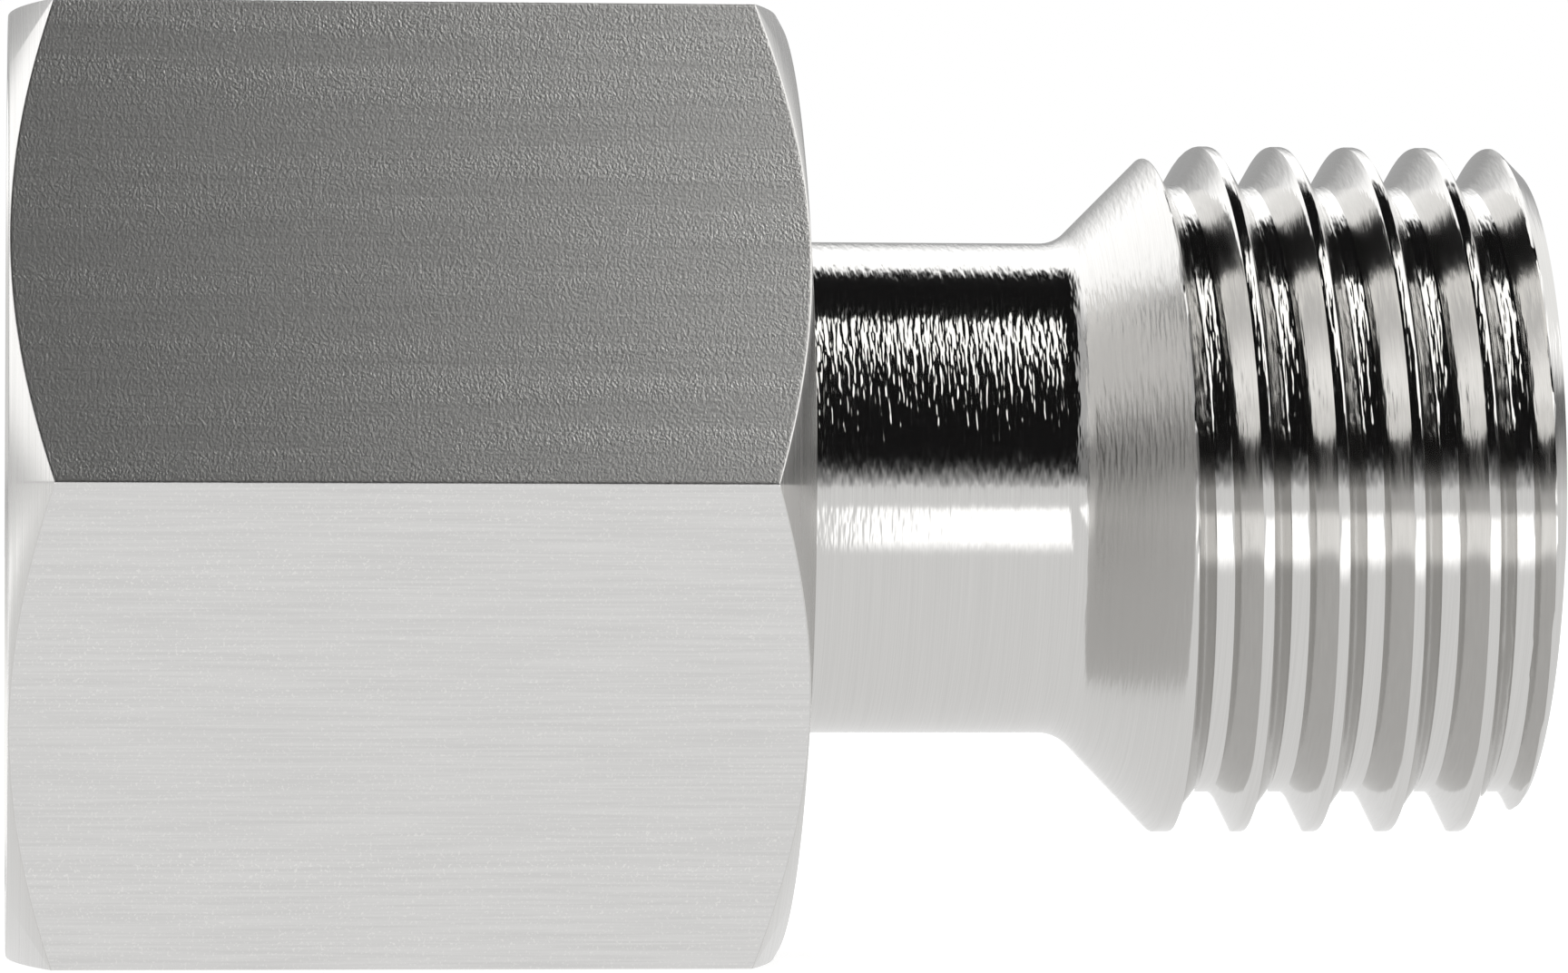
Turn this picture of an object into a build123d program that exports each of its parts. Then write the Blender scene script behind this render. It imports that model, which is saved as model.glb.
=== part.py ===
from build123d import *
import os
from math import sin, cos, tan, atan, pi, degrees, radians

# Straight tube reducer of the cutting-ring kind: a turned body with a plain stub
# at one end and a male thread at the other, a union nut loose on the stub, and
# the ring that the nut presses, which has bitten into the stub.
# Frame: the axis is X, the origin is the centre of the stub's end face,
# +X runs to the male thread, +Z is square to one flat of the nut.
# All sizes are in millimetres, all angles in degrees.

# Body: stub, neck and cone
stub_d = 10.0             # outside diameter of the stub and the neck
stub_wall = 1.5
stub_chamfer = 0.3
bore_step_x = 16.5        # where the wide bore of the stub ends
drill_angle = 59.0        # half angle of the drill point at that step
cone_corner_x = 20.97     # where neck and cone would meet without the fillet
cone_angle = 45.0         # from the axis
neck_fillet = 0.8

# Body: 24 degree socket for the smaller tube
tube_d = 8.0
tube_wall = 1.0
tube_play = 0.05          # radial, tube in its socket
socket_half_angle = 12.0
socket_cone_len = 4.7
socket_depth = 7.0
mouth_break = 0.15

# Body: male thread, M14 x 1.5, right-hand
male_over_tube = 6.0      # thread diameter over the tube's
pitch = 1.5
male_crest = 0.143        # crest flat, as a share of the pitch
male_root = 0.238         # root flat, as a share of the pitch
male_first_root = 2.25    # cone's corner to the first full root, at the top
male_fade_turn = 100.0    # turn over which the first groove fades out
body_end_x = 30.37
end_chamfer = 0.46

# Bite that the ring has cut into the stub
bite_x = 3.0
bite_depth = 0.20
bite_flat = 0.15
bite_slope = 0.30
burr_h = 0.20
burr_flat = 0.12
burr_slope = 0.33

# Cutting ring
ring_wall = 1.5           # over the stub's radius
ring_running = 0.03       # radial, ring on the stub
edge_gap = 0.03           # along the axis, each cutting edge in its bite
edge_flat = 0.07
edge_back = 0.45          # slope behind the first edge
edge_relief = 0.15        # radial, hollow behind the edge
relief_len = 2.2          # from the ring's front to the end of that hollow
nose_wall = 0.36          # ring's nose over the stub's radius
nose_angle = 12.0
nose_len = 3.4
shoulder_len = 0.6
ring_back_wall = 0.30     # width of the ring's rear face

# Union nut, M16 x 1.5, 19 mm across flats
nut_front_x = -0.30
nut_hole_len = 2.575      # from the end of the seat to the back face
thread_over_ring = 3.0    # thread diameter over the ring's
nut_wall = 1.5            # thread diameter to each flat
nut_corner_cut = 0.03     # chamfer circle inside the flats' circle, radial
nut_chamfer_angle = 30.0  # from the end face
nut_crest = 0.25          # inner crest flat, as a share of the pitch
nut_root = 0.125          # outer root flat, as a share of the pitch
nut_entry_len = 1.0       # 45 degree entry chamfer
nut_relief_depth = 0.125  # radial, beyond the thread's root
nut_relief_len = 1.5
nut_relief_slope = 0.3
nut_ring_play = 0.12      # radial, ring in the nut behind the thread
nut_throat_len = 0.6      # straight throat between relief and seat
seat_gap = 0.04           # between ring and seat, square to the seat
ring_rear_corner_x = 11.16  # where the ring's 45 degree bevel starts
nut_running = 0.09        # radial, nut on the neck
nut_back_break = 0.3

# How far cutting tools run past what they cut
overrun = 0.12
run_off = 1.2

# What follows from the sizes above
stub_r = stub_d / 2
stub_bore_r = stub_r - stub_wall
tube_r = tube_d / 2
through_r = tube_r - tube_wall
socket_r = tube_r + tube_play
mouth_r = socket_r + socket_cone_len * tan(radians(socket_half_angle))
male_r = (tube_d + male_over_tube) / 2
flank = tan(radians(30.0))
male_depth = pitch * (1 - male_crest - male_root) / 2 / flank
male_root_r = male_r - male_depth
male_root_x = cone_corner_x + male_first_root
ring_r = stub_r + ring_wall
ring_bore_r = stub_r + ring_running
bevel_sum = ring_rear_corner_x + ring_r
seat_sum = bevel_sum + seat_gap / sin(radians(45.0))
nut_major_r = ring_r + thread_over_ring / 2
nut_minor_r = nut_major_r - pitch * (1 - nut_crest - nut_root) / 2 / flank
nut_relief_r = nut_major_r + nut_relief_depth
nut_throat_r = ring_r + nut_ring_play
nut_hole_r = stub_r + nut_running
nut_af = 2 * (nut_major_r + nut_wall)
nut_back_x = seat_sum - nut_hole_r + nut_hole_len   # 15.5 mm behind the front face

# Turned shapes are drawn on local Z and laid along the part's X at the end
along_x = Plane(origin=(0, 0, 0), x_dir=(0, 0, 1), z_dir=(1, 0, 0)).location


def turned(points, seam=0, corner=None, radius=0.0):
    # Solid of revolution from (x, r) points, with its seam at the given angle
    # and one corner of its outline rounded
    with BuildSketch() as outline:
        with BuildLine():
            Polyline(*[(r, x) for x, r in points], close=True)
        make_face()
        if corner:
            fillet(outline.vertices().sort_by_distance((corner[1], corner[0], 0))[0], radius)
    plane = Plane.XZ.rotated((0, 0, seam))
    return revolve(plane.location * outline.sketch, axis=Axis.Z)


def groove(root_r, root_flat, outer_r, length, grow=0.0):
    # Trapezoid swept along a right-hand helix that may widen on its way
    half_root = root_flat / 2
    half_outer = half_root + abs(outer_r - root_r) * flank
    angle = degrees(atan(grow / length))
    slant = pitch / cos(radians(angle))
    path = Edge.make_helix(slant, length, root_r, (0, 0, 0), (0, 0, 1), angle)
    with BuildSketch(Plane.XZ) as sketch:
        with BuildLine():
            Polyline((root_r, -half_root), (outer_r, -half_outer),
                     (outer_r, half_outer), (root_r, half_root), close=True)
        make_face()
    return sweep(sketch.sketch.face(), path=path, is_frenet=True)


def cut_thread(make_blank, tool, turns, mean_r, area):
    # A helical cut can fail or come out empty where seams meet, so the blank's seam
    # is turned until the groove has taken away about the metal that it should
    expected = turns * 2 * pi * mean_r * area
    best = None
    for seam in range(40, 400, 32):
        blank = make_blank(seam)
        try:
            cut = blank - tool
        except ValueError:
            continue
        taken = blank.volume - cut.volume
        off = abs(taken - expected)
        if cut.is_valid and len(cut.solids()) == 1 and (best is None or off < best[0]):
            best = (off, cut)
        if best and best[0] < 0.4 * expected:
            break
    return best[1]


def body_outside():
    # Stub end, burr and bite, neck, cone, thread blank, end chamfer
    return [
        (0, stub_r - stub_chamfer),
        (stub_chamfer, stub_r),
        (bite_x - burr_flat - burr_slope, stub_r),
        (bite_x - burr_flat, stub_r + burr_h),
        (bite_x, stub_r + burr_h),
        (bite_x, stub_r - bite_depth),
        (bite_x + bite_flat, stub_r - bite_depth),
        (bite_x + bite_flat + bite_slope, stub_r),
        (cone_corner_x, stub_r),
        (cone_corner_x + (male_r - stub_r) / tan(radians(cone_angle)), male_r),
        (body_end_x - end_chamfer, male_r),
        (body_end_x, male_r - end_chamfer),
    ]


def body_inside():
    # From the 24 degree mouth back to the stub's end
    step = (stub_bore_r - through_r) / tan(radians(drill_angle))
    return [
        (body_end_x, mouth_r + mouth_break),
        (body_end_x - mouth_break, mouth_r),
        (body_end_x - socket_cone_len, socket_r),
        (body_end_x - socket_depth, socket_r),
        (body_end_x - socket_depth, through_r),
        (bore_step_x + step, through_r),
        (bore_step_x, stub_bore_r),
        (stub_chamfer, stub_bore_r),
        (0, stub_bore_r + stub_chamfer),
    ]


def reducer_body():
    root_flat = pitch * male_root
    outer_r = male_r + overrun
    lead = 30.0           # the main groove starts this far before the top
    lap = 10.0            # and the fading one begins this far inside it
    length = body_end_x + run_off - male_root_x
    main = Pos(0, 0, male_root_x - pitch * lead / 360) * (
        Rot(0, 0, -lead) * groove(male_root_r, root_flat, outer_r, length))
    fade = groove(male_root_r, root_flat, outer_r + 2 * overrun,
                  pitch * male_fade_turn / 360, male_depth + overrun)
    back = lead - lap
    fade = Pos(0, 0, male_root_x - pitch * back / 360) * (
        Rot(0, 0, -back) * fade.rotate(Axis.X, 180))
    area = male_depth * (root_flat + male_depth * flank)
    turns = (body_end_x - male_root_x) / pitch
    corner = (cone_corner_x, stub_r)
    body = cut_thread(lambda seam: turned(body_outside() + body_inside(), seam,
                                          corner, neck_fillet),
                      main, turns, male_r - male_depth / 2, area)
    return along_x * (body - fade)


def union_nut():
    # Hexagon with both corner chamfers, then the turned inside. The fine thread
    # is left out: its bore has the minor diameter
    front = nut_front_x
    back = nut_back_x
    apothem = nut_af / 2
    beyond_r = apothem / cos(radians(30.0)) + run_off
    circle_r = apothem - nut_corner_cut
    drop = (beyond_r - circle_r) * tan(radians(nut_chamfer_angle))
    envelope = turned([
        (front, 0), (front, circle_r), (front + drop, beyond_r),
        (back - drop, beyond_r), (back, circle_r), (back, 0),
    ])
    # Flats face the part's +Z and -Z, so a corner lies on Y
    hexagon = Pos(0, 0, front) * extrude(
        RegularPolygon(apothem, 6, major_radius=False, rotation=30), back - front)
    seat_x = seat_sum - nut_throat_r
    throat_x = seat_x - nut_throat_len
    relief_x = throat_x - nut_relief_slope - nut_relief_len
    hollow = turned([
        (front - run_off, 0),
        (front - run_off, nut_minor_r + nut_entry_len + run_off),
        (front + nut_entry_len, nut_minor_r),
        (relief_x, nut_minor_r),
        (relief_x + nut_relief_slope, nut_relief_r),
        (throat_x - nut_relief_slope, nut_relief_r),
        (throat_x, nut_throat_r),
        (seat_x, nut_throat_r),
        (seat_sum - nut_hole_r, nut_hole_r),
        (back - nut_back_break, nut_hole_r),
        (back + run_off, nut_hole_r + nut_back_break + run_off),
        (back + run_off, 0),
    ])
    return along_x * ((hexagon & envelope) - hollow)


def cutting_ring():
    # Wedge nose, cutting edge that sits in the bite, 45 degree rear bevel
    edge_r = stub_r - bite_depth + ring_running
    front = bite_x + edge_gap
    relief_r = ring_bore_r + edge_relief
    nose_r = stub_r + nose_wall
    nose_end_r = nose_r + nose_len * tan(radians(nose_angle))
    back_r = ring_bore_r + ring_back_wall
    return along_x * turned([
        (front, edge_r),
        (front, nose_r),
        (front + nose_len, nose_end_r),
        (front + nose_len + shoulder_len, ring_r),
        (bevel_sum - ring_r, ring_r),
        (bevel_sum - back_r, back_r),
        (bevel_sum - back_r, ring_bore_r),
        (front + relief_len + edge_relief, ring_bore_r),
        (front + relief_len, relief_r),
        (front + edge_flat + edge_back, relief_r),
        (front + edge_flat, edge_r),
    ])


os.makedirs("parts", exist_ok=True)
export_step(reducer_body(), "parts/reducer_body.step")
export_step(union_nut(), "parts/union_nut.step")
export_step(cutting_ring(), "parts/cutting_ring.step")
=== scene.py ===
import math

import bmesh
import bpy
import numpy as np
from mathutils import Matrix, Vector


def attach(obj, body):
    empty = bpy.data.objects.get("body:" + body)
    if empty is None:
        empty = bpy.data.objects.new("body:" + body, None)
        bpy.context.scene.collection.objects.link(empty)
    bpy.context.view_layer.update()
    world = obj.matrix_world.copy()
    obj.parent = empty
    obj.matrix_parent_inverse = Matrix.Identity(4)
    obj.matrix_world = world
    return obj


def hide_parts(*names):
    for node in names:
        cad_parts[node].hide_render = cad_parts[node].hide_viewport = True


# Straight tube reducer: a bright turned body with a male thread, a satin hexagon
# union nut on its stub and the cutting ring inside the nut. The axis is X, the
# stub's end face is at X = 0 and the nut lies on its lower flat.
# Lengths are in millimetres until a mesh is made, angles in degrees.

MM = 0.001
TAU = 2 * math.pi
FLANK_SLOPE = 1 / math.tan(math.radians(30))
FADE_REACH = 0.12           # how far over the crest a fading groove is lifted
WELD = 4e-7                 # metres, points that are one point
SEAM = 1.5e-6               # metres, points of two walls that meet
SHARP = 30.0                # edges that turn more than this stay sharp

# Camera, square to the nut's near corner as the photograph was taken
CAMERA_AT = (-0.969, -172.720, -0.982)
CAMERA_YAW = 5.432
CAMERA_PITCH = 0.334
CAMERA_ROLL = -0.148
CAMERA_LENS = 195.76

# Body
STUB_R = 5.0
STUB_BORE_R = 3.5
STUB_CHAMFER = 0.3
BITE_X = 3.0
BITE_DEPTH = 0.2
BITE_FLAT = 0.15
BITE_SLOPE = 0.3
BURR_HEIGHT = 0.2
BURR_FLAT = 0.12
BURR_SLOPE = 0.33
BORE_STEP_X = 16.5
THROUGH_X = 16.8
THROUGH_R = 3.0
CONE_CORNER_X = 20.97
NECK_FILLET = 0.8
MALE_R = 7.0
MALE_ROOT_R = 6.196
MALE_ROOT_FLAT = 0.238      # share of the pitch
MALE_START_X = 22.0
MALE_FIRST_ROOT_X = 23.22
MALE_FADE_TURN = 100.0      # turn over which the first groove fades out
BODY_END_X = 30.37
END_CHAMFER = 0.46
MOUTH_R = 5.049
MOUTH_BREAK = 0.15
SOCKET_R = 4.05
SOCKET_CONE_X = 25.67
SOCKET_END_X = 23.37
SOCKET_FACE_R = 5.299       # where the end face meets the thread's wall
PITCH = 1.5
BODY_COLUMNS = 256
BODY_ROWS = 42              # per pitch

# Cutting ring, (x, r): edge, nose, shoulder, 45 degree bevel, bore, relief behind the edge
RING_OUTLINE = [
    (3.03, 4.83), (3.03, 5.36), (6.43, 6.083), (7.03, 6.5), (11.16, 6.5), (12.33, 5.33),
    (12.33, 5.03), (5.38, 5.03), (5.23, 5.18), (3.55, 5.18), (3.10, 4.83),
]
RING_COLUMNS = 192

# Union nut
NUT_FRONT_X = -0.30
NUT_BACK_X = 15.2016
NUT_APOTHEM = 9.5
NUT_CIRCLE_R = 9.47
NUT_CORNER_R = 0.07
NUT_EDGE = 0.02             # rounding between chamfer and flat
NUT_RIM = 0.05              # outermost band of each end face
NUT_RIM_DROP = 0.004
NUT_MINOR_R = 7.188
NUT_MAJOR_R = 8.0
NUT_ENTRY = 1.0
NUT_FIRST_ROOT_X = 0.55
NUT_ROOT_FLAT = 0.125       # share of the pitch
NUT_FADE_TURN = 90.0
NUT_RELIEF_X = 8.6966
NUT_RELIEF_END_X = 8.9966
NUT_RELIEF_R = 8.125
NUT_THROAT_X = 10.4966
NUT_THROAT_R = 6.62
NUT_SEAT_X = 11.0966
NUT_HOLE_R = 5.09
NUT_BREAK = 0.3
NUT_COLUMNS = 240
NUT_ROWS = 32               # per pitch
FLAT_COLUMNS = 36           # of the 40 columns in each sixth of the hexagon
GUARD_COLUMN = 0.04         # columns and rows this near an edge keep a flat's shading even
GUARD_ROW = 0.003           # share of the flat's length
FACE_R = 9.35

FLOOR_Z = -9.52
FLOOR_HALF = 3000.0

# Finishes
BRIGHT = (0.62, 0.613, 0.60)
BORED = (0.52, 0.51, 0.49)
RING_TONE = (0.56, 0.55, 0.53)
SATIN = (0.68, 0.675, 0.666)
# Bright tone painted on sparse specks of the nut's flats as glints
PAINTED_GLINT_TONE = (0.85, 0.84, 0.82, 1.0)

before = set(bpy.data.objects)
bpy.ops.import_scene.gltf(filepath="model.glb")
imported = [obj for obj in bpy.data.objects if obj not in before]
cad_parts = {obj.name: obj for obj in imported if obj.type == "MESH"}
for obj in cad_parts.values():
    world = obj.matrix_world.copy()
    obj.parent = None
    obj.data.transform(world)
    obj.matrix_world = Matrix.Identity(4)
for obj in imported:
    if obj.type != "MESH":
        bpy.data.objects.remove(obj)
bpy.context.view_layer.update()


# Node trees

class Nodes:
    """Short ways to place and join nodes in a shader or a geometry tree."""

    def __init__(self, tree):
        self.tree = tree

    def add(self, kind, inputs=None, **settings):
        made = self.tree.nodes.new(kind)
        for key, value in settings.items():
            setattr(made, key, value)
        for key, value in (inputs or {}).items():
            self.put(value, made.inputs[key])
        return made

    def put(self, value, socket):
        if isinstance(value, bpy.types.NodeSocket):
            self.tree.links.new(value, socket)
        else:
            socket.default_value = value

    def math(self, operation, *values, clamp=False):
        made = self.tree.nodes.new("ShaderNodeMath")
        made.operation = operation
        made.use_clamp = clamp
        for value, socket in zip(values, made.inputs):
            self.put(value, socket)
        return made.outputs[0]

    def ramp(self, value, stops):
        """Colour ramp from (place, grey or colour) pairs."""
        made = self.add("ShaderNodeValToRGB", {"Fac": value})
        elements = made.color_ramp.elements
        while len(elements) < len(stops):
            elements.new(0.5)
        for element, (place, tone) in zip(elements, stops):
            element.position = place
            rgb = (tone,) * 3 if isinstance(tone, (int, float)) else tone
            element.color = (*rgb, 1.0)
        return made.outputs["Color"]

    def spread(self, value, low, high, out_low=0.0, out_high=1.0, smooth=False):
        """Map Range, clamped."""
        made = self.add("ShaderNodeMapRange")
        if smooth:
            made.interpolation_type = "SMOOTHSTEP"
        for socket, number in zip(made.inputs, (value, low, high, out_low, out_high)):
            self.put(number, socket)
        return made.outputs["Result"]

    def mix(self, share, one, other):
        made = self.add("ShaderNodeMix", data_type="RGBA")
        self.put(share, made.inputs[0])
        self.put(one, made.inputs[6])
        self.put(other, made.inputs[7])
        return made.outputs[2]

    def place_mm(self):
        """The point's own X, Y and Z in millimetres."""
        place = self.add("ShaderNodeTexCoord").outputs["Object"]
        axes = self.add("ShaderNodeSeparateXYZ", {0: place}).outputs
        return [self.math("MULTIPLY", axes[name], 1 / MM) for name in "XYZ"]

    def bump(self, height, shader):
        """Let a height in metres turn the shader's normal."""
        made = self.add("ShaderNodeBump", {"Strength": 1.0, "Distance": 1.0, "Height": height})
        self.put(made.outputs["Normal"], shader.inputs["Normal"])


# Thread, made by one rule for the body's male thread and the nut's inner one

def thread_tree():
    """Geometry tree of a tube wall whose rows of points follow the thread."""
    tree = bpy.data.node_groups.new("screw thread wall", "GeometryNodeTree")
    tree.is_modifier = True
    ports = tree.interface
    ports.new_socket(name="Geometry", in_out="INPUT", socket_type="NodeSocketGeometry")
    for name in ("Columns", "Rows per Pitch"):
        ports.new_socket(name=name, in_out="INPUT", socket_type="NodeSocketInt")
    for name in ("Pitch", "Root at Top", "Root Radius", "Crest Radius", "Root Flat",
                 "Start", "End", "Lead-in Corner", "Lead-in Slope", "Run-out Corner",
                 "Run-out Slope", "Fade Turn", "Side", "Edge Rounding", "Face Radius"):
        ports.new_socket(name=name, in_out="INPUT", socket_type="NodeSocketFloat")
    ports.new_socket(name="Material", in_out="INPUT", socket_type="NodeSocketMaterial")
    ports.new_socket(name="Geometry", in_out="OUTPUT", socket_type="NodeSocketGeometry")

    n = Nodes(tree)
    m = n.math
    given = n.add("NodeGroupInput").outputs
    pitch, start, end = given["Pitch"], given["Start"], given["End"]

    # Grid of points: one row along each helix, one column at each angle
    lines = m("ADD", given["Columns"], 1)
    turns = m("ADD", m("DIVIDE", m("SUBTRACT", end, start), pitch), 3)
    last_row = m("MULTIPLY", m("CEIL", turns), given["Rows per Pitch"])
    grid = n.add("GeometryNodeMeshGrid", {"Vertices X": m("ADD", last_row, 1), "Vertices Y": lines})
    index = n.add("GeometryNodeInputIndex").outputs[0]
    row = m("FLOOR", m("DIVIDE", m("ADD", index, 0.5), lines))
    column = m("SUBTRACT", index, m("MULTIPLY", row, lines))
    turn = m("DIVIDE", column, given["Columns"])

    # Place along the axis, with one point of each column on either corner
    before = m("CEIL", m("DIVIDE", m("SUBTRACT", given["Root at Top"], start), pitch))
    first = m("SUBTRACT", given["Root at Top"], m("MULTIPLY", m("ADD", before, 1), pitch))
    step = m("DIVIDE", pitch, given["Rows per Pitch"])
    x = m("ADD", m("ADD", first, m("MULTIPLY", row, step)), m("MULTIPLY", turn, pitch))
    x = m("MINIMUM", m("MAXIMUM", x, start), end)
    for corner in (given["Lead-in Corner"], given["Run-out Corner"]):
        near = m("COMPARE", x, corner, m("MULTIPLY", step, 0.5))
        x = m("ADD", x, m("MULTIPLY", near, m("SUBTRACT", corner, x)))

    # Distance from the nearest root, and that groove's turn from the first root
    pitches = m("SUBTRACT", m("DIVIDE", m("SUBTRACT", x, given["Root at Top"]), pitch), turn)
    groove = m("ROUND", pitches)
    away = m("MULTIPLY", m("ABSOLUTE", m("SUBTRACT", pitches, groove)), pitch)
    full_turn = m("ADD", turn, groove)
    lift = m("DIVIDE", m("MULTIPLY", full_turn, -1), given["Fade Turn"], clamp=True)

    # Height across the groove, mirrored for an inner thread
    side = given["Side"]
    crest = m("MULTIPLY", given["Crest Radius"], side)
    root = m("MULTIPLY", given["Root Radius"], side)
    depth = m("ADD", m("SUBTRACT", crest, root), FADE_REACH)
    root = m("ADD", root, m("MULTIPLY", lift, depth))
    half_flat = m("MULTIPLY", m("MULTIPLY", given["Root Flat"], pitch), 0.5)
    rounding = given["Edge Rounding"]
    out = m("SMOOTH_MAX", m("SUBTRACT", away, half_flat), 0.0, m("MULTIPLY", rounding, 0.6))
    height = m("SMOOTH_MIN", crest, m("ADD", root, m("MULTIPLY", out, FLANK_SLOPE)), rounding)
    lead_in = m("MULTIPLY", given["Lead-in Slope"], m("SUBTRACT", x, given["Lead-in Corner"]))
    run_out = m("MULTIPLY", given["Run-out Slope"], m("SUBTRACT", given["Run-out Corner"], x))
    blank = m("ADD", crest, m("MINIMUM", lead_in, run_out))
    height = m("SMOOTH_MIN", height, blank, rounding)
    radius = m("MULTIPLY", height, side)

    # The last row closes towards the bore across the end face
    is_last = m("COMPARE", row, last_row, 0.5)
    radius = m("ADD", radius, m("MULTIPLY", is_last, m("SUBTRACT", given["Face Radius"], radius)))
    angle = m("MULTIPLY", turn, TAU)
    y = m("MULTIPLY", m("MULTIPLY", m("SINE", angle), radius), -1)
    z = m("MULTIPLY", m("COSINE", angle), radius)
    place = n.add("ShaderNodeCombineXYZ", {"X": x, "Y": y, "Z": z}).outputs[0]
    place = n.add("ShaderNodeVectorMath", {0: place, "Scale": MM}, operation="SCALE").outputs[0]

    wall = n.add("GeometryNodeSetPosition", {"Geometry": grid.outputs["Mesh"], "Position": place})
    merged = n.add("GeometryNodeMergeByDistance", {"Geometry": wall.outputs[0], "Distance": WELD})
    whole = n.add("GeometryNodeRealizeInstances", {"Geometry": merged.outputs[0]})
    coated = n.add("GeometryNodeSetMaterial", {"Geometry": whole.outputs[0], "Material": given["Material"]})
    n.add("NodeGroupOutput", {"Geometry": coated.outputs[0]})
    return tree


def thread_wall(tree, sizes):
    """Plain mesh of the thread that the tree makes with these sizes."""
    blank = bpy.data.objects.new("thread blank", bpy.data.meshes.new("thread blank"))
    bpy.context.scene.collection.objects.link(blank)
    cutter = blank.modifiers.new("thread", "NODES")
    cutter.node_group = tree
    for port in tree.interface.items_tree:
        if port.in_out == "INPUT" and port.name in sizes:
            cutter[port.identifier] = sizes[port.name]
    depsgraph = bpy.context.evaluated_depsgraph_get()
    mesh = bpy.data.meshes.new_from_object(blank.evaluated_get(depsgraph), depsgraph=depsgraph)
    mesh.polygons.foreach_set("material_index", np.zeros(len(mesh.polygons), dtype=np.int32))
    blank.modifiers.remove(cutter)
    bpy.data.objects.remove(blank)
    return mesh


# Turned walls

def softened(points, radius, closed=False):
    """The (x, r) outline with each corner rounded a little."""
    count = len(points)
    out = []
    for i, point in enumerate(points):
        if not closed and i in (0, count - 1):
            out.append(point)
            continue
        here = np.array(point)
        back = np.array(points[i - 1]) - here
        ahead = np.array(points[(i + 1) % count]) - here
        reach_back, reach_ahead = np.linalg.norm(back), np.linalg.norm(ahead)
        reach = min(radius, 0.4 * reach_back, 0.4 * reach_ahead)
        one, other = here + back / reach_back * reach, here + ahead / reach_ahead * reach
        for t in (0, 0.25, 0.5, 0.75, 1):
            out.append(tuple((1 - t) ** 2 * one + 2 * t * (1 - t) * here + t ** 2 * other))
    return out


def circle_row(x, r, columns):
    """Ring of points about the axis, counted from the top towards the camera."""
    angle = np.arange(columns) * TAU / columns
    return np.stack([np.full(columns, x), -r * np.sin(angle), r * np.cos(angle)], axis=1)


def skin(rows, closed=False, materials=None):
    """Mesh of quads through rows of points, each row a closed ring."""
    rows = [np.asarray(row) for row in rows]
    if closed:
        rows = rows + rows[:1]
    columns = len(rows[0])
    points = np.concatenate(rows) * MM
    faces = []
    for i in range(len(rows) - 1):
        for j in range(columns):
            k = (j + 1) % columns
            faces.append((i * columns + j, i * columns + k, (i + 1) * columns + k, (i + 1) * columns + j))
    mesh = bpy.data.meshes.new("wall")
    mesh.from_pydata(points.tolist(), [], faces)
    if materials:
        mesh.polygons.foreach_set("material_index", np.repeat(materials, columns).astype(np.int32))
    return mesh


def turned_wall(points, columns, closed=False, material=0):
    rows = [circle_row(x, r, columns) for x, r in points]
    return skin(rows, closed, [material] * (len(rows) - 1 + closed))


def joined(name, meshes, materials):
    """One closed piece of several walls that meet, normals outward."""
    work = bmesh.new()
    for mesh in meshes:
        work.from_mesh(mesh)
        bpy.data.meshes.remove(mesh)
    bmesh.ops.remove_doubles(work, verts=work.verts, dist=SEAM)
    bmesh.ops.dissolve_degenerate(work, edges=work.edges, dist=WELD)
    bmesh.ops.recalc_face_normals(work, faces=work.faces)
    mesh = bpy.data.meshes.new(name)
    work.to_mesh(mesh)
    work.free()
    mesh.shade_smooth()
    mesh.set_sharp_from_angle(angle=math.radians(SHARP))
    for material in materials:
        mesh.materials.append(material)
    piece = bpy.data.objects.new(name, mesh)
    bpy.context.scene.collection.objects.link(piece)
    return piece


# Finishes

def turned_marks_group():
    """Marks left by turning, strands and fine grooves that run around the axis.

    A width and a depth are in millimetres, a turn in radians.
    """
    group = bpy.data.node_groups.new("turned marks", "ShaderNodeTree")
    ports = group.interface
    for name, value in (("Strand Width", 0.08), ("Strand Turn", 0.10), ("Strand Depth", 0.004),
                        ("Groove Width", 0.02), ("Groove Depth", 0.0006)):
        port = ports.new_socket(name=name, in_out="INPUT", socket_type="NodeSocketFloat")
        port.default_value = value
    ports.new_socket(name="Height", in_out="OUTPUT", socket_type="NodeSocketFloat")
    ports.new_socket(name="Tone", in_out="OUTPUT", socket_type="NodeSocketFloat")

    n = Nodes(group)
    m = n.math
    given = n.add("NodeGroupInput").outputs
    x, y, z = n.place_mm()
    radius = m("SQRT", m("ADD", m("MULTIPLY", y, y), m("MULTIPLY", z, z)))

    def noise(width, turn, detail, shift):
        scale = m("DIVIDE", 1, width)
        around = m("DIVIDE", 1, m("MULTIPLY", turn, radius))
        spot = n.add("ShaderNodeCombineXYZ", {"X": m("MULTIPLY", x, scale),
                                              "Y": m("MULTIPLY", y, around),
                                              "Z": m("MULTIPLY", z, around)}).outputs[0]
        w = m("ADD", m("MULTIPLY", radius, scale), shift)
        return n.add("ShaderNodeTexNoise", {"Vector": spot, "W": w, "Scale": 1.0, "Detail": detail,
                                            "Roughness": 0.5}, noise_dimensions="4D").outputs["Fac"]

    strands = noise(given["Strand Width"], given["Strand Turn"], 1.0, 0.0)
    grooves = noise(given["Groove Width"], m("MULTIPLY", given["Strand Turn"], 8), 2.0, 31.7)
    height = m("ADD", m("MULTIPLY", strands, given["Strand Depth"]),
               m("MULTIPLY", grooves, given["Groove Depth"]))
    n.add("NodeGroupOutput", {"Height": m("MULTIPLY", height, MM), "Tone": grooves})
    return group


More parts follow.
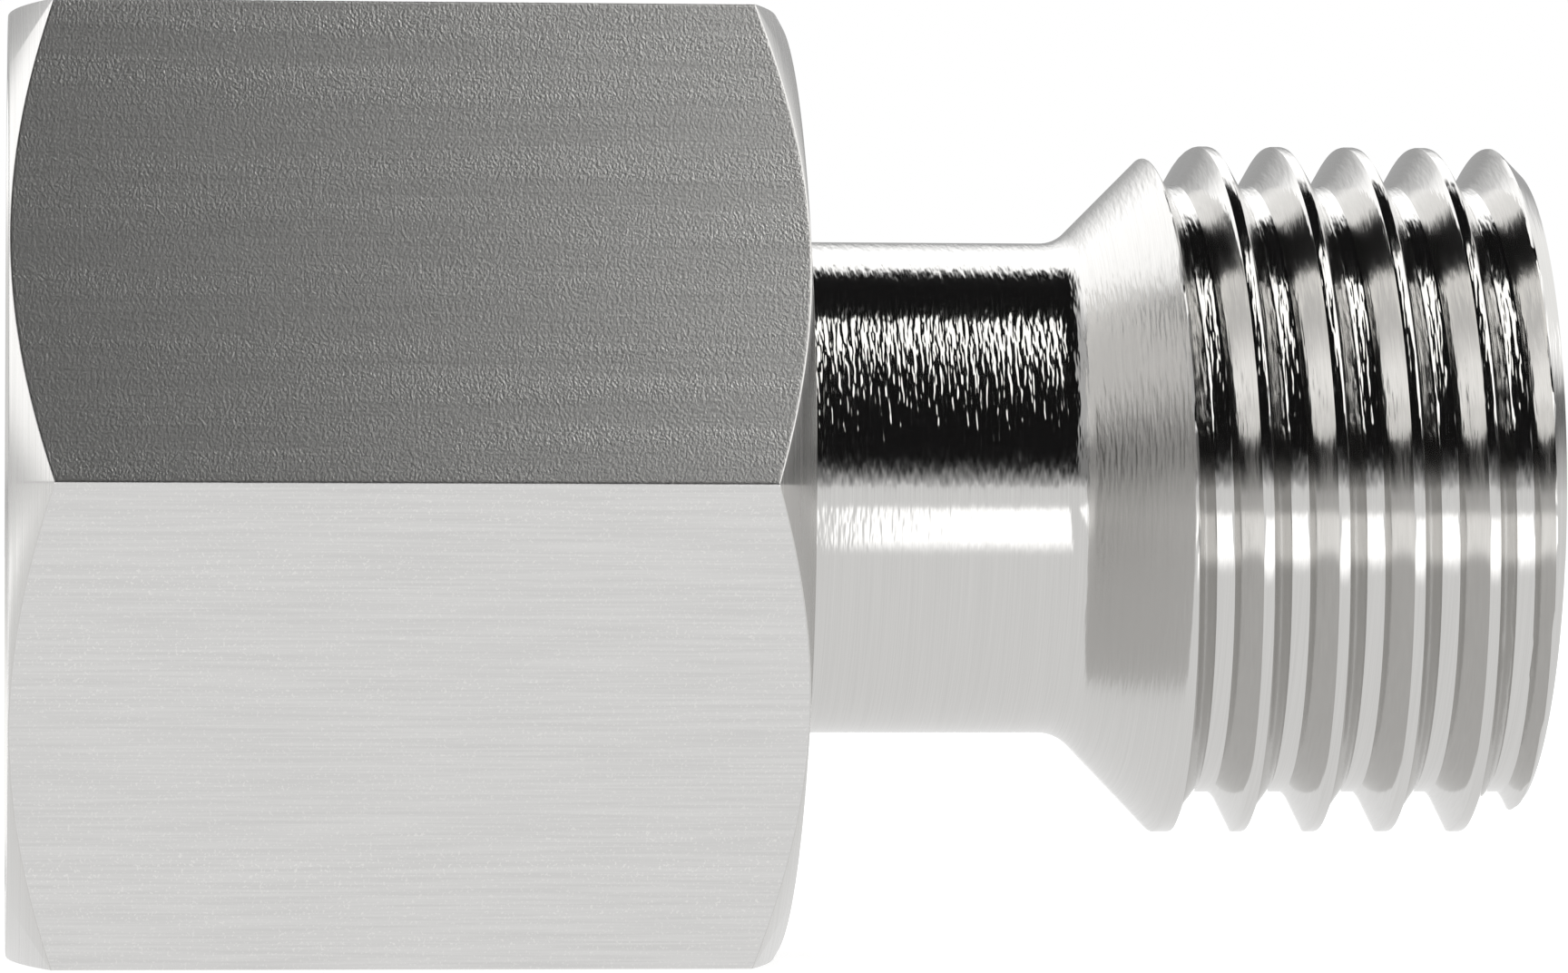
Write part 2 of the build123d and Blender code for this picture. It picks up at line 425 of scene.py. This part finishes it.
def ground_flat_group():
    """Long grain along the axis on the nut's flats, with fine specks in the bump and a sparse speck mask for
    a painted glint.
    """
    group = bpy.data.node_groups.new("ground flat", "ShaderNodeTree")
    ports = group.interface
    for name, value in (("Line Width", 0.06), ("Line Length", 3.0), ("Line Depth", 0.001),
                        ("Speck Size", 0.06), ("Speck Depth", 0.0055)):
        port = ports.new_socket(name=name, in_out="INPUT", socket_type="NodeSocketFloat")
        port.default_value = value
    ports.new_socket(name="Height", in_out="OUTPUT", socket_type="NodeSocketFloat")
    ports.new_socket(name="Tone", in_out="OUTPUT", socket_type="NodeSocketFloat")
    ports.new_socket(name="Painted Glints", in_out="OUTPUT", socket_type="NodeSocketFloat")

    n = Nodes(group)
    m = n.math
    given = n.add("NodeGroupInput").outputs
    x, y, z = n.place_mm()

    def noise(length, width, detail):
        across = m("DIVIDE", 1, width)
        spot = n.add("ShaderNodeCombineXYZ", {"X": m("DIVIDE", x, length),
                                              "Y": m("MULTIPLY", y, across),
                                              "Z": m("MULTIPLY", z, across)}).outputs[0]
        return n.add("ShaderNodeTexNoise", {"Vector": spot, "Scale": 1.0, "Detail": detail,
                                            "Roughness": 0.55}).outputs["Fac"]

    lines = noise(given["Line Length"], given["Line Width"], 2.0)
    specks = noise(m("MULTIPLY", given["Speck Size"], 0.8), given["Speck Size"], 1.0)
    bands = n.spread(noise(14.0, 0.6, 2.0), 0.46, 0.66, 0.62, 1.0)
    height = m("ADD", m("MULTIPLY", lines, given["Line Depth"]),
               m("MULTIPLY", m("MULTIPLY", specks, given["Speck Depth"]), bands))
    # Sparse specks in bands: the mask where a painted glint lightens the colour
    painted_glint_mask = m("MULTIPLY", n.spread(specks, 0.60, 0.68, smooth=True), bands)
    n.add("NodeGroupOutput", {"Height": m("MULTIPLY", height, MM), "Tone": lines, "Painted Glints": painted_glint_mask})
    return group


def darker_lighter(tone, share):
    """The tone darker and lighter by this share."""
    return tuple(c * (1 - share) for c in tone), tuple(min(c * (1 + share), 1.0) for c in tone)


def steel(name, tone, roughness):
    """Material with one metal shader; returns it, its nodes and that shader."""
    material = bpy.data.materials.new(name)
    material.use_nodes = True
    n = Nodes(material.node_tree)
    shader = next(node for node in material.node_tree.nodes if node.type == "BSDF_PRINCIPLED")
    shader.inputs["Base Color"].default_value = (*tone, 1.0)
    shader.inputs["Metallic"].default_value = 1.0
    shader.inputs["Roughness"].default_value = roughness
    return material, n, shader


def turned_steel(name, marks, tone, roughness, strand, groove, handled=False):
    """Steel as the lathe leaves it; strand is its width, turn and depth, groove its width and depth."""
    material, n, shader = steel(name, tone, roughness)
    group = n.add("ShaderNodeGroup", node_tree=marks)
    for key, value in zip(("Strand Width", "Strand Turn", "Strand Depth", "Groove Width", "Groove Depth"),
                          (*strand, *groove)):
        group.inputs[key].default_value = value
    gloss = n.spread(group.outputs["Tone"], 0.3, 0.7, roughness * 1.2, roughness * 0.8)
    if handled:
        # Strands are deep on the upper side, on the neck, the cone and the roots, and faint
        # on the flanks and inside the nut; the cone is a little more satin
        normal = n.add("ShaderNodeSeparateXYZ", {0: n.add("ShaderNodeNewGeometry").outputs["True Normal"]})
        x, _, z = n.place_mm()
        level = n.spread(n.math("ABSOLUTE", normal.outputs["X"]), 0.25, 0.6, 1.0, 0.22)
        on_cone = n.math("MULTIPLY", n.spread(x, 20.9, 21.3), n.spread(x, 22.9, 23.0, 1.0, 0.0))
        level = n.math("ADD", level, n.math("MULTIPLY", on_cone, 0.35))
        level = n.math("MULTIPLY", level, n.spread(x, 12, 15, 0.15, 1.0))
        upper = n.spread(z, -0.2, 0.8, 0.2, 1.0)
        depth = n.math("MULTIPLY", n.math("MULTIPLY", level, upper), strand[-1])
        n.put(depth, group.inputs["Strand Depth"])
        gloss = n.math("ADD", gloss, n.math("MULTIPLY", on_cone, 0.10))
    n.bump(group.outputs["Height"], shader)
    dark, light = darker_lighter(tone, 0.04)
    n.put(n.ramp(group.outputs["Tone"], [(0.3, dark), (0.7, light)]), shader.inputs["Base Color"])
    n.put(gloss, shader.inputs["Roughness"])
    return material


def ground_steel(name, grain, tone, roughness):
    """Steel with a ground satin face, for the nut's flats, and painted glints that lighten its sparse
    specks.
    """
    material, n, shader = steel(name, tone, roughness)
    group = n.add("ShaderNodeGroup", node_tree=grain)
    n.bump(group.outputs["Height"], shader)
    dark, light = darker_lighter(tone, 0.045)
    lines = n.ramp(group.outputs["Tone"], [(0.35, dark), (0.65, light)])
    # Painted glint: the colour is lifted towards a bright tone on the sparse specks; the specks' bump is
    # real
    painted_glint_share = n.math("MULTIPLY", group.outputs["Painted Glints"], 0.6)
    n.put(n.mix(painted_glint_share, lines, PAINTED_GLINT_TONE), shader.inputs["Base Color"])
    return material


marks = turned_marks_group()
body_finish = turned_steel("turned body steel", marks, BRIGHT, 0.10, (0.085, 0.085, 0.023), (0.02, 0.0003),
                           handled=True)
bore_finish = turned_steel("bored steel", marks, BORED, 0.26, (0.10, 0.30, 0.002), (0.03, 0.0008))
nut_turned_finish = turned_steel("turned nut steel", marks, BRIGHT, 0.24, (0.12, 0.60, 0.003), (0.03, 0.001))
nut_flat_finish = ground_steel("ground nut steel", ground_flat_group(), SATIN, 0.275)
ring_finish = turned_steel("cutting ring steel", marks, RING_TONE, 0.22, (0.08, 0.40, 0.002), (0.02, 0.0008))


# Pieces

def reducer_body(tree):
    slope = math.radians(45)
    tangent = NECK_FILLET * math.tan(slope / 2)
    fillet = [(CONE_CORNER_X - tangent + NECK_FILLET * math.sin(a), STUB_R + NECK_FILLET * (1 - math.cos(a)))
              for a in np.linspace(0, slope, 11)]
    cone_start_r = STUB_R + MALE_START_X - CONE_CORNER_X
    inside = softened([
        (BODY_END_X, SOCKET_FACE_R),
        (BODY_END_X, MOUTH_R + MOUTH_BREAK),
        (BODY_END_X - MOUTH_BREAK, MOUTH_R),
        (SOCKET_CONE_X, SOCKET_R),
        (SOCKET_END_X, SOCKET_R),
        (SOCKET_END_X, THROUGH_R),
        (THROUGH_X, THROUGH_R),
        (BORE_STEP_X, STUB_BORE_R),
        (STUB_CHAMFER, STUB_BORE_R),
        (0, STUB_BORE_R + STUB_CHAMFER),
    ], 0.03)
    outside = softened([
        (0, STUB_BORE_R + STUB_CHAMFER),
        (0, STUB_R - STUB_CHAMFER),
        (STUB_CHAMFER, STUB_R),
        (BITE_X - BURR_FLAT - BURR_SLOPE, STUB_R),
        (BITE_X - BURR_FLAT, STUB_R + BURR_HEIGHT),
        (BITE_X, STUB_R + BURR_HEIGHT),
        (BITE_X, STUB_R - BITE_DEPTH),
        (BITE_X + BITE_FLAT, STUB_R - BITE_DEPTH),
        (BITE_X + BITE_FLAT + BITE_SLOPE, STUB_R),
        (BITE_X + 2.0, STUB_R),
    ], 0.03)
    outside += [(x, STUB_R) for x in np.linspace(7, CONE_CORNER_X - tangent - 1, 7)]
    outside += fillet + [(MALE_START_X, cone_start_r)]
    thread = thread_wall(tree, {
        "Columns": BODY_COLUMNS, "Rows per Pitch": BODY_ROWS, "Pitch": PITCH,
        "Root at Top": MALE_FIRST_ROOT_X, "Root Radius": MALE_ROOT_R, "Crest Radius": MALE_R,
        "Root Flat": MALE_ROOT_FLAT, "Start": MALE_START_X, "End": BODY_END_X,
        "Lead-in Corner": CONE_CORNER_X + MALE_R - STUB_R, "Lead-in Slope": 1.0,
        "Run-out Corner": BODY_END_X - END_CHAMFER, "Run-out Slope": 1.0,
        "Fade Turn": MALE_FADE_TURN / 360, "Side": 1.0, "Edge Rounding": 0.06,
        "Face Radius": SOCKET_FACE_R, "Material": body_finish})
    walls = [thread, turned_wall(outside, BODY_COLUMNS), turned_wall(inside, BODY_COLUMNS, material=1)]
    return joined("turned_body", walls, [body_finish, bore_finish])


def hexagon_row():
    """Points round the hexagon's section with rounded corners, from the top flat's middle."""
    reach = NUT_APOTHEM * math.tan(math.radians(30))
    flat_end = reach - NUT_CORNER_R * math.tan(math.radians(30))

    def corner(degrees):
        turn = math.radians(degrees)
        return (math.copysign(flat_end, degrees) + NUT_CORNER_R * math.sin(turn),
                NUT_APOTHEM - NUT_CORNER_R + NUT_CORNER_R * math.cos(turn))

    inner = np.linspace(-flat_end + GUARD_COLUMN, flat_end - GUARD_COLUMN, FLAT_COLUMNS - 1)
    flat = [(u, NUT_APOTHEM) for u in (-flat_end, *inner, flat_end)]
    sector = [corner(-30), corner(-15), *flat, corner(15)]
    points = []
    for k in range(6):
        a = math.radians(60 * k)
        for u, v in sector:
            points.append((-(u * math.cos(a) + v * math.sin(a)), v * math.cos(a) - u * math.sin(a)))
    return np.roll(np.array(points), -2 - FLAT_COLUMNS // 2, axis=0)


def union_nut(tree):
    outline = hexagon_row()
    radius = np.hypot(outline[:, 0], outline[:, 1])
    ray = outline / radius[:, None]
    slope = math.tan(math.radians(30))
    depth = (radius - NUT_CIRCLE_R) * slope
    cut = np.minimum(NUT_EDGE, 0.45 * (radius - NUT_CIRCLE_R))

    def row(x, r):
        return np.stack([np.broadcast_to(x, radius.shape), ray[:, 0] * r, ray[:, 1] * r], axis=1)

    def end_rows(x_end, way):
        edge_x = x_end + way * depth
        return [
            row(x_end, NUT_CIRCLE_R - NUT_RIM),
            row(x_end + way * NUT_RIM_DROP, NUT_CIRCLE_R),
            row(x_end + way * (NUT_RIM_DROP + cut * slope), NUT_CIRCLE_R + cut),
            row(edge_x - way * cut * slope, radius - cut),
            row(edge_x + way * cut * 0.10, radius - cut * 0.28),
            row(edge_x + way * cut * 0.45, radius - cut * 0.06),
            row(edge_x + way * cut, radius),
        ]

    front = end_rows(NUT_FRONT_X, 1)
    back = end_rows(NUT_BACK_X, -1)[::-1]
    middle = [front[-1] * (1 - t) + back[0] * t
              for t in (GUARD_ROW, 0.25, 0.5, 0.75, 1 - GUARD_ROW)]
    rows = ([circle_row(NUT_FRONT_X, FACE_R, NUT_COLUMNS)] + front + middle + back
            + [circle_row(NUT_BACK_X, FACE_R, NUT_COLUMNS)])
    flat = [0] * len(front) + [1] * (len(middle) + 1) + [0] * len(back)
    shell = skin(rows, materials=flat)

    entry_r = NUT_MINOR_R + NUT_ENTRY
    thread = thread_wall(tree, {
        "Columns": NUT_COLUMNS, "Rows per Pitch": NUT_ROWS, "Pitch": PITCH,
        "Root at Top": NUT_FIRST_ROOT_X, "Root Radius": NUT_MAJOR_R, "Crest Radius": NUT_MINOR_R,
        "Root Flat": NUT_ROOT_FLAT, "Start": NUT_FRONT_X, "End": NUT_RELIEF_END_X,
        "Lead-in Corner": NUT_FRONT_X + NUT_ENTRY, "Lead-in Slope": 1.0,
        "Run-out Corner": NUT_RELIEF_X,
        "Run-out Slope": (NUT_RELIEF_R - NUT_MINOR_R) / (NUT_RELIEF_END_X - NUT_RELIEF_X),
        "Fade Turn": NUT_FADE_TURN / 360, "Side": -1.0, "Edge Rounding": 0.05,
        "Face Radius": NUT_RELIEF_R, "Material": nut_turned_finish})
    mouth = turned_wall([(NUT_FRONT_X, FACE_R), (NUT_FRONT_X, entry_r)], NUT_COLUMNS)
    rear = turned_wall(softened([
        (NUT_RELIEF_END_X, NUT_RELIEF_R),
        (NUT_THROAT_X - NUT_BREAK, NUT_RELIEF_R),
        (NUT_THROAT_X, NUT_THROAT_R),
        (NUT_SEAT_X, NUT_THROAT_R),
        (NUT_SEAT_X + NUT_THROAT_R - NUT_HOLE_R, NUT_HOLE_R),
        (NUT_BACK_X - NUT_BREAK, NUT_HOLE_R),
        (NUT_BACK_X, NUT_HOLE_R + NUT_BREAK),
        (NUT_BACK_X, FACE_R),
    ], 0.05), NUT_COLUMNS)
    return joined("hexagon_nut", [shell, mouth, thread, rear], [nut_turned_finish, nut_flat_finish])


def cutting_ring():
    outline = softened(RING_OUTLINE, 0.03, closed=True)
    return joined("wedge_ring", [turned_wall(outline, RING_COLUMNS, closed=True)], [ring_finish])


thread_rule = thread_tree()
body_piece = reducer_body(thread_rule)
nut_piece = union_nut(thread_rule)
ring_piece = cutting_ring()
for piece, body, node, slot in ((body_piece, "body", "reducer_body", "turned_steel"),
                                (nut_piece, "nut", "union_nut", "nut_steel"),
                                (ring_piece, "ring", "cutting_ring", "ring_steel")):
    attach(piece, body)
    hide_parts(node)


# Studio

def studio_world():
    """White to the camera and to soft light; metal sees pale panels and dark gaps.

    A direction is told by its X and by its climb, in degrees from the camera's side
    up over the part and down behind it.
    """
    world = bpy.data.worlds.new("studio")
    bpy.context.scene.world = world
    world.use_nodes = True
    world.cycles.sampling_method = "NONE"
    world.node_tree.nodes.clear()
    n = Nodes(world.node_tree)
    m = n.math
    way = n.add("ShaderNodeTexCoord").outputs["Generated"]
    axes = n.add("ShaderNodeSeparateXYZ", {0: way}).outputs
    x, z = axes["X"], axes["Z"]
    climb = m("MULTIPLY", m("ARCTAN2", z, m("MULTIPLY", axes["Y"], -1)), 180 / math.pi)

    # Round the part: bright just below the level of the eye, dark above it, bright behind
    round_tones = [
        (-180, 0.9), (-150, 0.93), (-33, 0.93), (-28, 1.25), (-23, 1.9), (-12, 1.9), (-7, 1.15),
        (-3, 0.82), (1, 0.53), (5, 0.22), (9, 0.04), (13, 0.008), (118, 0.008), (121, 0.2),
        (126, 1.7), (146, 1.7), (156, 1.0), (165, 0.45), (180, 0.4)]
    seen = n.ramp(n.spread(climb, -180, 180), [((a + 180) / 360, tone) for a, tone in round_tones])
    behind = m("MULTIPLY", m("GREATER_THAN", climb, 121), m("LESS_THAN", climb, 155))
    seen = n.mix(m("MULTIPLY", n.spread(x, 0.25, 0.5), behind), seen, (1.2, 1.2, 1.19, 1.0))

    # Right panel, whose edge leans, so that a shade runs along the nut's upper flat
    edge = n.spread(climb, 26, 73, 0.48, 0.085)
    edge = m("ADD", edge, m("ADD", n.spread(climb, 84, 92, 0.0, 0.35), n.spread(climb, 97, 106, 0.0, 3.0)))
    edge = m("ADD", edge, n.spread(climb, 26, 8, 0.0, 3.0))
    above = m("MULTIPLY", m("GREATER_THAN", climb, 5), m("LESS_THAN", climb, 107))
    right = m("MULTIPLY", n.spread(m("SUBTRACT", x, edge), -0.02, 0.02, smooth=True), above)
    right_tone = n.ramp(n.spread(x, 0.5, 0.8), [(0, (1.75, 1.74, 1.71)), (1, 1.5)])
    seen = n.mix(right, seen, right_tone)

    # Left panel, for the cone and the left flanks of the thread
    left = m("MULTIPLY", n.spread(x, -0.38, -0.55, smooth=True), n.spread(z, 0.04, 0.09))
    left_tone = n.ramp(n.spread(climb, 0, 180), [
        (0, 0.3), (0.12, 0.3), (0.2, 0.6), (0.5, 0.6), (0.58, 0.95), (0.66, 1.6), (0.95, 1.6), (1, 1.2)])
    seen = n.mix(left, seen, left_tone)

    # High panel at the far right, and one beyond the male end
    far = m("MULTIPLY", n.spread(x, 0.44, 0.58, smooth=True), n.spread(z, 0.42, 0.5))
    far_tone = n.ramp(n.spread(z, 0.42, 0.78), [(0, 2.0), (0.55, 2.0), (1, 1.2)])
    seen = n.mix(far, seen, far_tone)
    end = m("MULTIPLY", n.spread(x, 0.72, 0.80, smooth=True), n.spread(axes["Y"], 0.4, 0.3))
    end_tone = n.ramp(n.spread(z, -0.1, 0.7), [
        (0, 0.8), (0.14, 0.75), (0.25, 0.45), (0.34, 0.2), (0.40, 0.2), (0.52, 1.5), (0.60, 2.0),
        (0.70, 1.0), (0.76, 1.0), (0.9, 1.6)])
    seen = n.mix(end, seen, end_tone)

    ray = n.add("ShaderNodeLightPath").outputs
    colour = n.mix(ray["Is Glossy Ray"], (1.0, 1.0, 1.0, 1.0), seen)
    background = n.add("ShaderNodeBackground", {"Color": colour, "Strength": 1.0})
    n.add("ShaderNodeOutputWorld", {"Surface": background.outputs[0]})


def studio_floor():
    """White floor that keeps a faint shadow; metal sees two bright strips on it."""
    mesh = bpy.data.meshes.new("floor")
    half, low = FLOOR_HALF * MM, FLOOR_Z * MM
    corners = [(-half, -half, low), (half, -half, low), (half, half, low), (-half, half, low)]
    mesh.from_pydata(corners, [], [(0, 1, 2, 3)])
    floor = bpy.data.objects.new("floor", mesh)
    bpy.context.scene.collection.objects.link(floor)
    material = bpy.data.materials.new("white floor")
    material.use_nodes = True
    material.cycles.emission_sampling = "NONE"
    material.node_tree.nodes.clear()
    n = Nodes(material.node_tree)
    m = n.math

    # Strips before and behind the part, with a gap beside the nut
    x, y, _ = n.place_mm()
    across = m("ABSOLUTE", y)
    along = m("ABSOLUTE", m("SUBTRACT", x, 15))
    strip = m("MULTIPLY", n.spread(across, 18, 24, smooth=True), n.spread(across, 54, 66, 1, 0, smooth=True))
    strip = m("MULTIPLY", strip, n.spread(along, 110, 130, 1, 0, smooth=True))
    ahead = m("SUBTRACT", x, m("MULTIPLY", across, 0.1))
    strip = m("MULTIPLY", strip, m("MAXIMUM", n.spread(ahead, 15.6, 16.2), n.spread(ahead, -8, -12)))
    glow = m("ADD", 0.93, m("MULTIPLY", strip, 0.9))

    ray = n.add("ShaderNodeLightPath").outputs
    metal_look = n.add("ShaderNodeEmission", {"Color": (1, 1, 1, 1), "Strength": glow})
    plain = n.add("ShaderNodeBsdfDiffuse", {"Color": (0.80, 0.80, 0.80, 1)})
    lift = n.add("ShaderNodeEmission", {"Color": (1, 1, 1, 1), "Strength": 0.6})
    seen = n.add("ShaderNodeAddShader", {0: plain.outputs[0], 1: lift.outputs[0]})
    whole = n.add("ShaderNodeMixShader", {0: ray["Is Glossy Ray"], 1: seen.outputs[0],
                                          2: metal_look.outputs[0]})
    n.add("ShaderNodeOutputMaterial", {"Surface": whole.outputs[0]})
    mesh.materials.append(material)


def photograph_camera():
    data = bpy.data.cameras.new("camera")
    data.lens = CAMERA_LENS
    data.clip_start = 0.01
    camera = bpy.data.objects.new("camera", data)
    bpy.context.scene.collection.objects.link(camera)
    yaw, pitch, roll = (math.radians(a) for a in (CAMERA_YAW, CAMERA_PITCH, CAMERA_ROLL))
    level = Vector((math.cos(yaw), -math.sin(yaw), 0))
    forward = Vector((math.cos(pitch) * math.sin(yaw), math.cos(pitch) * math.cos(yaw), math.sin(pitch)))
    upright = level.cross(forward)
    right = math.cos(roll) * level - math.sin(roll) * upright
    up = math.sin(roll) * level + math.cos(roll) * upright
    turn = Matrix((right, up, -forward)).transposed().to_4x4()
    camera.matrix_world = Matrix.Translation([c * MM for c in CAMERA_AT]) @ turn
    bpy.context.scene.camera = camera


studio_world()
studio_floor()
photograph_camera()
bpy.context.scene.view_settings.view_transform = "Standard"
